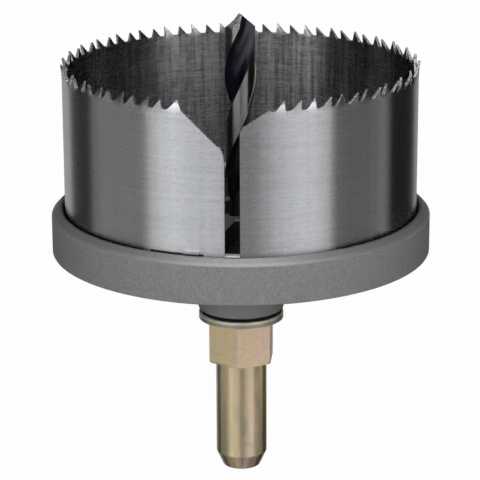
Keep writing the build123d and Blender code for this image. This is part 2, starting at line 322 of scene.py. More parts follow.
def dress(piece, node, finish):
    """Makes a piece ride with the tool, stand for a CAD node and wear a finish."""
    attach(piece, ROOT)
    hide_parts(node)
    piece.data.materials.clear()
    piece.data.materials.append(finish)


# A tooth: places in mm behind its tip, and the edge's height there as a share of the tooth's
TOOTH_PROFILE = (
    (0.0, 0.07, 1.45, 1.75, 2.0, 2.6, 2.83, 2.9, 2.938),
    (1.0, 1.0, 0.20, 0.06, 0.0, 0.0, 0.05, 0.20, 1.0),
)
# The strip's columns in mm behind each tip
TOOTH_COLUMNS = (*TOOTH_PROFILE[0][:-1], 0.5, 0.95, 2.3)


def tooth_layout(blade):
    """First tip, pitch (angles) and number of teeth, and the joint's sides as X at the front."""
    radius = blade.diameter / 2
    middle = radius * sin(blade.gap_angle)
    left = middle - blade.gap / 2
    right = middle + blade.gap / 2
    right_end = np.arcsin((right + blade.right_width) / radius)
    left_end = np.arcsin((left - blade.left_width) / radius) + 2 * pi
    pitch = blade.pitch / radius
    first = right_end + (blade.notch_margin + blade.tooth_length) / radius
    count = int((left_end - first) / pitch) + 1
    return first, pitch, count, left, right


def tabs(blade, count=3):
    """Angles of the middles of the locking tabs, a third of a turn apart."""
    return blade.tab_angle + 2 * pi * np.arange(count) / 3


def from_tab(blade, turn):
    """Angle from the middle of the nearest tab."""
    return np.mod(turn - blade.tab_angle + pi / 3, 2 * pi / 3) - pi / 3


def strip_top(blade, turn, gullet):
    """Height of the strip's upper edge at each angle: the lower of the teeth and the notch.

    Behind its tip each tooth falls on a slope to a round gullet, then meets the next cutting
    face. The notch is two slopes that fall to the joint, each with a short foot. The right slope
    cuts off the tooth that it meets, and the left one runs up the last tooth's cutting face.
    """
    radius = blade.diameter / 2
    first, pitch, count, left, right = tooth_layout(blade)
    tall = blade.tooth_height
    high = gullet + tall
    behind = np.mod((first - turn) / pitch, 1.0) * blade.pitch
    place, share = np.array(TOOTH_PROFILE)
    last = first + (count - 1) * pitch
    slopes = np.interp(behind, place * MM, share * tall)
    teeth = gullet + np.where(turn > last + SAME_TURN, tall, slopes)
    knee = np.linspace(0, 1, 7) * pi / 2
    knee_shape = 0.9
    left_x = left - blade.left_knee_width * (1 - np.cos(knee)) ** knee_shape
    left_z = gullet - blade.left_depth + blade.left_knee_depth * np.sin(knee)
    left_x = np.append(left_x, [left - blade.left_width, radius * sin(last)])[::-1]
    left_z = np.append(left_z, [gullet, high])[::-1]
    slope_width = blade.right_width - blade.right_knee_width
    run = tall / ((blade.right_depth - blade.right_knee_depth) / slope_width)
    right_x = right + np.array([0.0, blade.right_knee_width, blade.right_width + run])
    right_rise = np.array([0.0, blade.right_knee_depth, blade.right_depth + tall])
    notch_x = np.concatenate([left_x, right_x])
    notch_z = np.concatenate([left_z, gullet - blade.right_depth + right_rise])
    edge = np.interp(radius * np.sin(turn), notch_x, notch_z, left=high, right=high)
    return np.where(np.cos(turn) > 0, np.minimum(teeth, edge), teeth)


def strip_columns(blade):
    """Angles of the strip's columns: round the notch, at every tooth's corners, at the tabs."""
    radius = blade.diameter / 2
    first, pitch, count, left, right = tooth_layout(blade)
    low = np.arcsin(right / radius)
    high = np.arcsin(left / radius) + 2 * pi
    tip = first + pitch * np.arange(-1, count + 1)
    teeth = tip[:, None] - np.array(TOOTH_COLUMNS) * MM / radius
    notch_right = np.arcsin(np.linspace(right, right + blade.right_width, 14) / radius)
    knee = np.arcsin((right + blade.right_knee_width) / radius)
    notch_left = np.arcsin(np.linspace(left - blade.left_width, left, 40) / radius) + 2 * pi
    on_tab = np.linspace(-1, 1, 5) * blade.tab_width / 2 / radius
    tab_side = 0.08 * MM
    beside_tab = np.array([-1, 1]) * (blade.tab_width / 2 + tab_side) / radius
    tab_columns = tabs(blade, 4)[:, None] + np.concatenate([on_tab, beside_tab])
    ends = [low, knee, high]
    every = np.concatenate([ends, teeth.ravel(), notch_right, notch_left, tab_columns.ravel()])
    every = every[(every >= low - SAME_TURN) & (every <= high + SAME_TURN)]
    return np.unique(np.round(every, 7))


def strip_wall(blade, turn, height, at):
    """How far the strip leans out: its teeth are set by turns, and its tabs spring out.

    A tooth leans in proportion to the height above its gullet, and a tab above its root. Each
    tooth starts a fifth of a pitch ahead of its tip, in the gullet.
    """
    first, pitch, count, _, _ = tooth_layout(blade)
    number = np.minimum(np.ceil((turn - first) / pitch - 0.2), count - 1)
    way = np.where(np.mod(number, 2) == 0, -1.0, 1.0)
    share = np.clip((height - at.gullet) / blade.tooth_height, 0, 1)
    across = np.abs(from_tab(blade, turn)) * blade.diameter / 2
    up = (height - at.tab_root) / blade.tab_height
    on_tab = (across <= blade.tab_width / 2 + 0.01 * MM) & (up > 0) & (up <= 1.0001)
    return way * blade.tooth_set * share + np.where(on_tab, up, 0.0) * blade.tab_spring


def make_blade(blade):
    """The strip: at each angle a closed section goes up the outside and down the inside.

    A point's radius is the wall's radius plus its lean, less its share of the thinning. Its
    height is a share of the way from the foot to the upper edge at that angle.
    """
    tab_top = HOLDER_HIGH[2] + blade.tab_above
    at = SimpleNamespace(
        gullet=BLADE_HIGH[2] - blade.tooth_height, tab_root=tab_top - blade.tab_height
    )
    turn = strip_columns(blade)
    top = strip_top(blade, turn, at.gullet)
    outer = blade.diameter / 2
    inner = outer - blade.strip
    bevel, under_notch = 0.05 * MM, 2 * MM
    notch_foot = at.gullet - blade.left_depth - under_notch
    over_tab = tab_top + np.array([0, 0.1, 4, 9]) * MM
    tab_middle = at.tab_root + blade.tab_height * 0.5
    level = np.array([BLADE_LOW[2], at.tab_root, tab_middle, *over_tab, notch_foot])
    shares = np.array([0.3, 0.6, 0.8, 0.87, 0.93, 0.97])[:, None]
    low = np.repeat(level[:, None], len(turn), axis=1)
    high = notch_foot + shares * (top - bevel - notch_foot)
    up = np.concatenate([low, high, (top - bevel)[None, :]])

    def face(radius, way, height):
        """One face of the strip, thinned towards the tips of the teeth."""
        share = np.clip((height - at.gullet) / blade.tooth_height, 0, 1)
        lean = strip_wall(blade, turn, height, at)
        return around(radius + lean - way * blade.tip_thinning * share, turn, height)

    outer_edge = face(outer - bevel, 1, top[None, :])
    inner_edge = face(inner + bevel, -1, top[None, :])
    loop = np.concatenate([face(outer, 1, up), outer_edge, inner_edge, face(inner, -1, up)[::-1]])
    edge = np.zeros((len(loop), 1))
    edge[len(up) : len(up) + 2] = 1
    shell = Shell()
    shell.bar(loop, edge, 1.0)
    return shell.build("saw_blade_strip", sharp=24.0)


def holder_levels(holder):
    """Heights of the holder's boss, underside, floor, groove, lip, hub and rim."""
    at = SimpleNamespace(boss=HOLDER_LOW[2], groove=BLADE_LOW[2], rim=HOLDER_HIGH[2])
    at.base = at.boss + holder.boss_length
    at.floor = at.base + holder.base_thickness
    at.lip = at.base + holder.lip_height
    at.hub = at.base + holder.hub_height
    return at


def make_holder(holder, blade, arbor):
    """The casting: one half section carried round the axis, with pockets cut in the rim.

    In a pocket the groove's outer wall stands back by the pocket's depth, above its floor.
    """
    at = holder_levels(holder)
    radius = blade.diameter / 2
    groove_outer = radius + holder.clearance
    groove_inner = groove_outer - holder.groove
    rim = groove_outer + holder.rim_width
    lip = groove_inner - holder.lip_width
    boss = holder.boss / 2
    bore_play, pocket_step, pocket_side = 0.05 * MM, 0.01 * MM, 0.02 * MM
    bore = arbor.spigot / 2 + bore_play
    pocket_floor = at.rim + blade.tab_above - blade.tab_height - holder.pocket_margin
    path = rounded(
        (bore, at.hub, 0),
        (bore, at.boss, 0),
        (boss, at.boss, 0.5),
        (boss, at.base, 1.5),
        (rim, at.base, 0.3),
        (rim, at.rim - holder.rim_chamfer, 0.45),
        (rim - holder.rim_chamfer, at.rim, 0.12),
        (groove_outer, at.rim, 0.8),
        (groove_outer, pocket_floor + pocket_step, 0),
        (groove_outer, pocket_floor, 0),
        (groove_outer, at.groove, 0.2),
        (groove_inner, at.groove, 0.2),
        (groove_inner, at.lip, 0.3),
        (lip, at.lip, 0.4),
        (lip, at.floor, 0.8),
        (boss, at.floor, 0.8),
        (boss, at.hub, 0.5),
        (bore, at.hub, 0),
    )
    half = blade.tab_width / 2 + holder.pocket_margin
    sides = np.array([-half - pocket_side, -half, half, half + pocket_side]) / radius
    pocket_columns = (tabs(blade)[:, None] + sides).ravel()
    turn = np.mod(np.concatenate([full_turn(288), pocket_columns]), 2 * pi)
    turn = np.unique(np.round(turn, 7))
    in_pocket = np.abs(from_tab(blade, turn)) * radius <= half + pocket_step / 2
    r, z = path[:, :1], path[:, 1:]
    on_wall = (np.abs(r - groove_outer) < 0.1 * MM) & (z > pocket_floor + pocket_step / 2)
    r = np.where(on_wall & in_pocket, r + holder.pocket_depth, r)
    return round_piece("blade_holder_casting", around(r, turn, z))


def make_ribs(holder, blade):
    """Ribs: a rounded section with flared feet, carried out from the hub to the lip."""
    at = holder_levels(holder)
    lip = blade.diameter / 2 + holder.clearance - holder.groove - holder.lip_width
    half = holder.rib_width / 2
    flare, sunk, step = 0.9, 0.3 * MM, 0.02 * MM
    buried = at.floor - sunk
    floor = at.floor + step
    top = at.hub - step
    profile = rounded(
        (-half - flare * MM, buried, 0),
        (-half - flare * MM, floor, 0),
        (-half, floor, flare),
        (-half, top, 0.45),
        (half, top, 0.45),
        (half, floor, flare),
        (half + flare * MM, floor, 0),
        (half + flare * MM, buried, 0),
    )
    across = profile[:, 0][:, None, None]
    up = profile[:, 1][:, None, None] * np.array([0.0, 0.0, 1.0])
    in_hub, in_lip = 1.0 * MM, 0.5 * MM
    along = np.linspace(holder.boss / 2 - in_hub, lip + in_lip, 12)[None, :, None]
    shell = Shell()
    for number in range(holder.rib_count):
        out, side = directions(blade.tab_angle + 2 * pi * number / holder.rib_count)
        shell.bar(across * side + up + along * out, flip=True)
    return shell.build("blade_holder_ribs")


def make_arbor(arbor):
    """The arbor: turned sections, and a hexagon whose radius is apothem / cos(angle to a flat).

    The hexagon's lower end is the smaller of that radius and a cone, as a chamfering tool cuts.
    """
    columns = 360
    shank = arbor.shank / 2
    flange = arbor.flange / 2
    spigot = arbor.spigot / 2
    hex_top = arbor.shank_length + arbor.hexagon_length
    flange_top = WASHER_LOW[2]
    spigot_top = ARBOR_HIGH[2]
    spigot_chamfer = 0.8 * MM
    apothem = arbor.hexagon / 2
    corner = apothem / cos(pi / 6)
    bore_play, bore_depth = 0.03 * MM, 3 * MM
    bore = DRILL_HIGH[0] + bore_play
    turn = full_turn(columns)
    sharp_radius = apothem / np.cos(from_flat(turn))
    eased = corner - arbor.corner_round
    hex_radius = np.minimum(sharp_radius, eased - 0.4 * (sharp_radius - eased))[None, :]
    lower = rounded(
        (0, 0, 0),
        (arbor.lead / 2, 0, 0.35),
        (shank, arbor.lead_length, 0.5),
        (shank, arbor.shank_length, 0),
    )
    chamfer_cut, chamfer_length, chamfer_slope = 0.25 * MM, 1.8 * MM, 0.25 / 0.8
    chamfer = np.linspace(0, chamfer_length, 10)
    cone = (corner - chamfer_cut + chamfer * chamfer_slope)[:, None]
    upper = rounded(
        (flange, hex_top, 0),
        (flange, flange_top, 0.3),
        (spigot, flange_top, 0),
        (spigot, spigot_top - spigot_chamfer, 0.1),
        (spigot - spigot_chamfer, spigot_top, 0.1),
        (bore, spigot_top, 0.1),
        (bore, spigot_top - bore_depth, 0),
        (0, spigot_top - bore_depth, 0),
    )
    below, above = (np.repeat(path[:, :1], columns, axis=1) for path in (lower, upper))
    radius = np.concatenate([below, np.minimum(hex_radius, cone), hex_radius, above])
    heights = [lower[:, 1], arbor.shank_length + chamfer, [hex_top], upper[:, 1]]
    points = around(radius, arbor.hexagon_turn + turn, np.concatenate(heights)[:, None])
    return round_piece("arbor_body", points, sharp=28.0)


def make_washer(arbor):
    """The washer: a flat ring with eased edges."""
    play, ease = 0.15 * MM, 0.1
    inner = arbor.spigot / 2 + play
    outer = WASHER_HIGH[0]
    low, high = WASHER_LOW[2], WASHER_HIGH[2]
    section = [(inner, high, 0), (inner, low, 0), (outer, low, ease), (outer, high, ease)]
    path = rounded(*section, section[0], steps=3)
    return round_piece("flange_washer_ring", revolve(path, full_turn(128)))


def drill_edges(drill):
    """Angles from a flute's middle to its leading edge and to its heel, which is relieved."""
    full = drill.diameter / 2
    far = drill.web / 2 + drill.flute_radius
    radius = np.array([full, full - drill.land_relief])
    return np.arccos((radius**2 + far**2 - drill.flute_radius**2) / (2 * radius * far))


def drill_section(drill):
    """Half of the fluted section, with a flute's middle along +X, counter-clockwise.

    A flute is an arc of a circle outside the web. A land is an arc a little under size, up to
    the margin at its leading edge. Returns the places, the angle that each has on the plain
    shank, 1 on the ground land, and the number of places on the flute.
    """
    full = drill.diameter / 2
    far = drill.web / 2 + drill.flute_radius
    lead, heel = drill_edges(drill)
    relieved = full - drill.land_relief
    start = -np.arcsin(full * sin(lead) / drill.flute_radius)
    end = np.arcsin(relieved * sin(heel) / drill.flute_radius)
    share = np.concatenate([[0, 0.004], np.linspace(0.03, 0.97, 33), [0.996, 1]])
    swing = start + (end - start) * share
    flute = far - drill.flute_radius * np.cos(swing), drill.flute_radius * np.sin(swing)
    step = pi - lead - drill.margin / full
    low_turn = np.linspace(heel, step, 16)[1:]
    margin_turn = np.linspace(step, pi - lead, 5)[:-1]
    margin_turn[0] += 0.003
    land_turn = np.concatenate([low_turn, margin_turn])
    land_radius = np.repeat([relieved, full], [len(low_turn), len(margin_turn)])
    x = np.concatenate([flute[0], land_radius * np.cos(land_turn)])
    y = np.concatenate([flute[1], land_radius * np.sin(land_turn)])
    shank_turn = np.concatenate([-lead + (lead + heel) * share, land_turn])
    ground = np.concatenate([[1], np.zeros(len(share) - 2), np.ones(1 + len(land_turn))])
    return np.stack([x, y], axis=-1), shank_turn, ground, len(share)


def ground_height(drill, places):
    """Height of the ground point over places of the section, as it stands at the tip's level.

    A flank is part of a cone: it falls in proportion to the distance from an axis that stands
    off the drill's, on the far side of the lip. The section turns as it goes down, so the place
    is turned by the height that was found, four times over.
    """
    full = drill.diameter / 2
    offset = drill.lip_offset
    lead, _ = drill_edges(drill)
    slope = full / tan(drill.point_angle / 2) / (np.hypot(full, offset) - offset)
    radius, turn = polar(places)
    turn = turn + lead
    fall = np.zeros_like(radius)
    for _ in range(4):
        at = turn - fall * 2 * pi / drill.flute_lead
        off_lip = np.abs(radius * np.sin(at)) + offset
        fall = slope * (np.hypot(radius * np.cos(at), off_lip) - offset)
    return DRILL_HIGH[2] - fall


def twisted(drill, places, height):
    """Places of the section at their heights, turned by one turn in each lead."""
    radius, turn = polar(places)
    turn = turn + drill.flute_angle - (DRILL_HIGH[2] - height) * 2 * pi / drill.flute_lead
    return around(radius, turn, height)


def make_drill(drill):
    """The drill: its section turns as it rises, up to two flanks that meet in a chisel edge.

    At the foot of the flutes each place moves from the plain shank's circle to the section. Each
    flank is a patch between the two flutes' arcs and the land's arc.
    """
    full = drill.diameter / 2
    foot, foot_chamfer = DRILL_LOW[2], 0.4 * MM
    flute_foot = DRILL_HIGH[2] - drill.flute_length
    half, half_turn, half_ground, on_flute = drill_section(drill)
    section = np.concatenate([half, -half])
    shank_turn = np.concatenate([half_turn, half_turn + pi])
    circle = full * np.stack([np.cos(shank_turn), np.sin(shank_turn)], axis=-1)
    rise = np.linspace(0, 1, 110)[:, None]
    height = flute_foot + rise * (ground_height(drill, section) - flute_foot)
    deep = np.clip((height - flute_foot) / drill.run_out, 0, 1)
    deep = (deep * (2 - deep))[..., None]
    places = circle * (1 - deep) + section * deep
    ground = np.concatenate([half_ground, half_ground]) * deep[..., 0]
    plain = [(0, foot), (full - foot_chamfer, foot), (full, foot + foot_chamfer)]
    plain.append((full, flute_foot))
    plain_turn = shank_turn + drill.flute_angle - drill.flute_length * 2 * pi / drill.flute_lead
    shell = Shell()
    shell.grid(twisted(drill, places, height), closed_columns=True, worked=ground)
    shell.grid(revolve(np.array(plain), plain_turn), closed_columns=True)
    middle = on_flute // 2
    right = section[middle:on_flute]
    left = -section[: middle + 1][::-1]
    outer = np.concatenate([section[on_flute - 1 : len(half)], -section[:1]])
    share = np.linspace(0, 1, len(outer))[None, :, None]
    out = np.linspace(0, 1, len(right))[:, None, None]
    straight = right[:, None] * (1 - share) + left[:, None] * share
    bulge = outer[None] - (outer[0] * (1 - share) + outer[-1] * share)
    flank = straight + bulge * out**2
    for side in (1, -1):
        cap = side * flank
        shell.grid(twisted(drill, cap, ground_height(drill, cap)), flip=True, worked=1.0)
    return shell.build("pilot_drill_body", sharp=30.0)


def on_screw(arbor, radius, turn, depth):
    """Points at a radius and an angle round the screw's axis, and a distance from the tool's."""
    level = arbor.shank_length + arbor.hexagon_length / 2
    out, side = directions(arbor.hexagon_turn + pi / 6 + arbor.screw_face * pi / 3)
    up = np.array([0.0, 0.0, 1.0])
    radius, turn, depth = np.broadcast_arrays(radius, turn, depth)
    across = (radius * np.cos(turn))[..., None] * side + (radius * np.sin(turn))[..., None] * up
    return level * up + across + depth[..., None] * out


def make_screw(arbor):
    """The set screw: a chamfered cylinder that dents the drill, with a six-sided socket."""
    head = arbor.hexagon / 2 - arbor.screw_sink
    dent = 0.35 * MM
    foot = DRILL_HIGH[0] - dent
    full = arbor.screw / 2
    foot_chamfer, head_chamfer, socket_chamfer = 0.5 * MM, 0.35 * MM, 0.12 * MM
    socket_flat, socket_depth, drilled_depth = 1.25 * MM, 1.4 * MM, 1.9 * MM
    turn = full_turn(SCREW_COLUMNS)
    socket = socket_flat / np.cos(from_flat(turn))
    rows = [
        (0, foot),
        (full - foot_chamfer, foot),
        (full, foot + foot_chamfer),
        (full, head - head_chamfer),
        (full - head_chamfer, head),
        (socket + socket_chamfer, head),
        (socket, head - socket_chamfer),
        (socket, head - socket_depth),
        (0, head - drilled_depth),
    ]
    radius = np.stack([np.broadcast_to(row[0], turn.shape) for row in rows])
    depth = np.array([row[1] for row in rows])[:, None]
    return round_piece("drill_set_screw_body", on_screw(arbor, radius, turn, depth), sharp=25.0)


def cut_screw_hole(piece, arbor):
    """Cuts the set screw's hole into the hexagon, with a small countersink, by a Boolean."""
    flat = arbor.hexagon / 2
    play, depth, sink, clear = 0.05 * MM, 2.2 * MM, 0.2 * MM, 1.0 * MM
    full = arbor.screw / 2 + play
    floor = flat - depth
    wide = full + sink
    bore = [(0, floor), (full, floor), (full, flat - sink), (wide, flat)]
    path = np.array(bore + [(wide + clear, flat + clear), (0, flat + clear)])
    points = on_screw(arbor, path[:, :1], full_turn(SCREW_COLUMNS), path[:, 1:])
    cutter = round_piece("screw_hole_cutter", points)
    hole = piece.modifiers.new("screw_hole", "BOOLEAN")
    hole.object = cutter
    hole.operation = "DIFFERENCE"
    hole.solver = "EXACT"
    shaped = piece.evaluated_get(bpy.context.evaluated_depsgraph_get())
    mesh = bpy.data.meshes.new_from_object(shaped)
    piece.modifiers.clear()
    used = (piece.data, cutter.data)
    piece.data = mesh
    bpy.data.objects.remove(cutter)
    for old in used:
        bpy.data.meshes.remove(old)


# ----- Shader maths -----


def tinted(shade, *factors):
    """A colour times one factor, or times one for each of its channels."""
    return tuple(part * factor for part, factor in zip(shade, factors * (3 // len(factors))))


def grey(level):
    """A colour with equal channels."""
    return (level,) * 3


def arithmetic(operation, reflected=False):
    """A method that adds a Math node for a value and another number."""

    def apply(self, other):
        pair = (other, self) if reflected else (self, other)
        return self.kit.maths(operation, *pair)

    return apply


class Value:
    """A number socket: arithmetic on it adds Math nodes."""

    __add__ = __radd__ = arithmetic("ADD")
    __mul__ = __rmul__ = arithmetic("MULTIPLY")
    __sub__ = arithmetic("SUBTRACT")
    __rsub__ = arithmetic("SUBTRACT", reflected=True)
    __truediv__ = arithmetic("DIVIDE")
    __pow__ = arithmetic("POWER")

    def __init__(self, kit, socket):
        self.kit = kit
        self.socket = socket

    def __neg__(self):
        return self * -1.0

    def above(self, edge, soft):
        """0 below an edge and 1 above it: a smooth step over a soft band centred on it."""
        inputs = {"Value": self, "From Min": edge - soft / 2, "From Max": edge + soft / 2}
        settings = {"interpolation_type": "SMOOTHSTEP", "clamp": True}
        return self.kit.number("MapRange", settings, inputs)

    def below(self, edge, soft):
        """1 below an edge and 0 above it."""
        return 1 - self.above(edge, soft)


class Kit:
    """Adds nodes to one node tree."""

    def __init__(self, tree):
        self.tree = tree
        tree.nodes.clear()

    def node(self, kind, settings=None, inputs=None):
        """Adds a node, sets its settings, then its sockets to values or links."""
        made = self.tree.nodes.new("ShaderNode" + kind)
        for key, value in (settings or {}).items():
            if key == "stops":
                self.set_stops(made.color_ramp, value)
            else:
                setattr(made, key, value)
        for key, value in (inputs or {}).items():
            self.feed(made.inputs[key], value)
        return made

    def feed(self, socket, value):
        """Links a socket to a Value or a socket, or sets it to a number, vector or colour."""
        if isinstance(value, Value):
            value = value.socket
        if isinstance(value, bpy.types.NodeSocket):
            self.tree.links.new(value, socket)
        elif socket.type == "RGBA" and len(value) == 3:
            socket.default_value = (*value, 1)
        else:
            socket.default_value = value

    def set_stops(self, ramp, stops):
        """Gives a colour ramp its stops (place, level of grey)."""
        while len(ramp.elements) > 1:
            ramp.elements.remove(ramp.elements[-1])
        for number, (place, level) in enumerate(stops):
            element = ramp.elements[0] if number == 0 else ramp.elements.new(place)
            element.position = place
            element.color = (*grey(level), 1)

    def number(self, *node):
        """The first output of a new node, as a Value."""
        return Value(self, self.node(*node).outputs[0])

    def maths(self, operation, *values):
        return self.number("Math", {"operation": operation}, dict(enumerate(values)))

    def mix(self, factor, first, second):
        """A colour between two colours."""
        inputs = {0: factor, 6: first, 7: second}
        return self.node("Mix", {"data_type": "RGBA"}, inputs).outputs[2]

    def layered(self, shade, *layers):
        """A colour under layers (how much it covers, colour), the last one on top."""
        for cover, paint in layers:
            shade = self.mix(cover, shade, paint)
        return shade

    def scale(self, shade, factor):
        """A colour times a number."""
        inputs = {"Vector": shade, "Scale": factor}
        return self.node("VectorMath", {"operation": "SCALE"}, inputs).outputs[0]

    def noise(self, scale, detail, rough, stretch=(1, 1, 1)):
        """Noise from 0 to 1 with scale * stretch grains in a metre along each axis."""
        where = self.node("TexCoord").outputs["Object"]
        place = self.node("Mapping", None, {"Vector": where, "Scale": stretch}).outputs[0]
        inputs = {"Vector": place, "Scale": scale, "Detail": detail, "Roughness": rough}
        return self.number("TexNoise", None, inputs)

    def split(self, output):
        """X, Y and Z of a texture coordinate."""
        where = self.node("TexCoord").outputs[output]
        parts = self.node("SeparateXYZ", None, {"Vector": where}).outputs
        return [Value(self, part) for part in parts]

    def coordinates(self):
        """X, Y, Z and the distance from the tool's axis, in metres."""
        x, y, z = self.split("Object")
        return x, y, z, (x * x + y * y) ** 0.5

    def shade_node(self, kind, **inputs):
        """The output of a shader node."""
        return self.node(kind, None, inputs).outputs[0]


class Finish(Kit):
    """A material with one Principled shader."""

    def __init__(self, name, constants=None):
        self.material = bpy.data.materials.new(name)
        self.material.use_nodes = True
        super().__init__(self.material.node_tree)
        self.shader = self.node("BsdfPrincipled", None, constants)
        self.node("OutputMaterial", None, {"Surface": self.shader.outputs[0]})

    def attribute(self, name):
        """A number kept on the mesh's points."""
        return Value(self, self.node("Attribute", {"attribute_name": name}).outputs["Fac"])

    def made(self, shade, rough, height, depth, **others):
        """The material, with its colour, its roughness and bumps of height times depth."""
        inputs = {"Height": height, "Distance": depth * MM, "Strength": 1.0}
        bump = self.node("Bump", None, inputs).outputs[0]
        sockets = {"Base Color": shade, "Roughness": rough, "Normal": bump, **others}
        for name, value in sockets.items():
            self.feed(self.shader.inputs[name], value)
        return self.material


# ----- Finishes -----

# Sockets that spread a reflection up and down
SPREAD = {"Anisotropic": 1.0, "Anisotropic Rotation": 0.25}


def brushed_steel(blade):
    """Steel brushed round the ring: long fine lines, with upright bands and cloudy marks.

    The inner wall is duller, with a weave of fine upright lines, and darkened as painted shade.
    Cut edges are torn, dark and bright. A fine dark line of painted shade, standing for a cut,
    runs beside each locking tab, just above the rim.
    """
    finish = Finish("brushed_steel", SPREAD)
    hair = finish.noise(1.0, 2.0, 0.6, stretch=(700, 700, 3600))
    line = finish.noise(1.0, 2.0, 0.5, stretch=(40, 40, 2200))
    band = finish.noise(1.0, 2.0, 0.5, stretch=(900, 900, 14))
    weave = finish.noise(1.0, 2.0, 0.6, stretch=(2600, 2600, 160))
    cloud = finish.noise(70.0, 3.0, 0.5)
    torn = finish.noise(2600.0, 2.0, 0.6)
    edge = finish.attribute("worked")
    x, y, z, r = finish.coordinates()
    inner = r.below(blade.diameter / 2 - blade.strip / 2, 0.1 * MM)
    across = (hair - 0.5) * (1.3 - 0.75 * inner) + (line - 0.5) * (1.0 - 0.6 * inner)
    streaks = across + (band - 0.5) * 0.8 + (weave - 0.5) * (0.9 * inner)
    tone = streaks * (0.8 + 0.7 * inner) + (cloud - 0.5) * 0.4 + 0.5
    steel = tuple(blade.steel)
    bright = tinted(steel, 1.14)
    brushed = finish.mix(tone, tinted(steel, 0.84), bright)
    # partly a duller finish, partly painted shade: the inner wall's colour is darkened
    inner_dull_and_shaded = finish.mix(tone * 1.6 - 0.3, tinted(steel, 0.28), tinted(steel, 0.74))
    sheared = finish.mix((torn - 0.5) * 3 + 0.45, tinted(steel, 0.22), bright)
    # painted shade: a fine dark line, standing for a cut, beside each tab just above the rim
    cut_before, cut_length, cut_height = radians(13.7), radians(17.5), 0.22 * MM
    third = 2 * pi / 3
    turn = finish.maths("ARCTAN2", x, -y) - blade.tab_angle + cut_before
    along = finish.maths("FRACT", turn / third).below(cut_length / third, 0.004)
    painted_cut_shade = along * z.below(HOLDER_HIGH[2] + cut_height, 0.3 * MM)
    # painted shade darkens the inner wall and a fine line beside each tab
    shade = finish.layered(brushed, (inner, inner_dull_and_shaded), (edge, sheared), (painted_cut_shade, grey(0.05)))
    rough = 0.26 + 0.06 * (hair - 0.5) + 0.03 * cloud
    return finish.made(shade, rough, hair * 0.15 + line * 0.08, 0.02, Metallic=1 - 0.35 * edge)


def cast_alloy(holder):
    """Sand-textured alloy: a chamfer worn smooth by rubbing and painted lighter as painted light,
    with a painted highlight on its lower edge, a smooth boss, and faced tops of hub and lip, the
    lip's top painted near white, partly as a painted highlight. The hollow inside the rim is
    darkened as painted shade.
    """
    finish = Finish("cast_alloy", {"Specular IOR Level": 0.2})
    _, _, z, r = finish.coordinates()
    at = holder_levels(holder)
    rim_inside = HOLDER_HIGH[0] - holder.rim_width
    chamfer_foot = at.rim - holder.rim_chamfer
    within = r.below(rim_inside - holder.groove * 0.5, 0.1 * MM)
    faced = z.above(at.hub - 0.25 * MM, 0.1 * MM) * within
    inside = r.below(rim_inside + 0.5 * MM, 0.8 * MM)
    # painted shade: the hollow inside the rim is painted dark
    painted_well_shade = inside * z.above(at.base + 0.5 * holder.base_thickness, 0.2 * MM)
    upper = z.above(chamfer_foot + 0.1 * MM, 0.25 * MM)
    # painted highlight along the lower edge of the chamfer
    painted_ridge_highlight = upper * z.below(chamfer_foot + 0.55 * MM, 0.3 * MM)
    boss = z.below(at.base - 0.9 * MM, 0.8 * MM)
    # painted highlight: the lip's faced top is painted near white, partly for light from above
    lip = r.above(0.7 * HOLDER_HIGH[0], 1 * MM)
    grain = finish.noise(2600.0, 3.0, 0.65)
    coarse = finish.noise(900.0, 3.0, 0.6)
    lathe = finish.noise(1.0, 2.0, 0.5, stretch=(150, 150, 5000))
    alloy = tuple(holder.alloy)
    grains = (grain - 0.5) * 1.3 + (coarse - 0.5) * 0.4 + 0.5
    sand = finish.mix(grains, tinted(alloy, 0.65), tinted(alloy, 1.45))
    # partly wear, partly painted light: the chamfer and rim top are painted lighter
    rubbed_and_painted_light = finish.mix(grain, (0.30, 0.30, 0.29), (0.42, 0.42, 0.41))
    hub_top = finish.mix(lathe, (0.22, 0.22, 0.21), (0.34, 0.34, 0.33))
    shade = finish.layered(
        # the chamfer painted lighter as painted light, with a painted highlight on its lower edge
        sand,
        (0.55 * upper + 0.45 * painted_ridge_highlight, rubbed_and_painted_light),
        (0.6 * boss, tinted(alloy, 1.15)),
        # painted shade in the hollow inside the rim
        (painted_well_shade, tinted(alloy, 0.15)),
        # faced tops, the lip's painted near white as a painted highlight
        (faced, finish.mix(lip, hub_top, (0.92, 0.92, 0.90))),
    )
    chamfer = upper * (1 - faced)
    metal = 0.04 + 0.26 * faced + 0.1 * boss + 0.5 * chamfer
    rough = 0.65 - 0.2 * faced - 0.1 * boss - 0.25 * chamfer
    height = (grain * 0.7 + coarse * 0.5) * (1 - faced) * (1 - 0.6 * boss)
    return finish.made(shade, rough, height, 0.06, Metallic=metal)


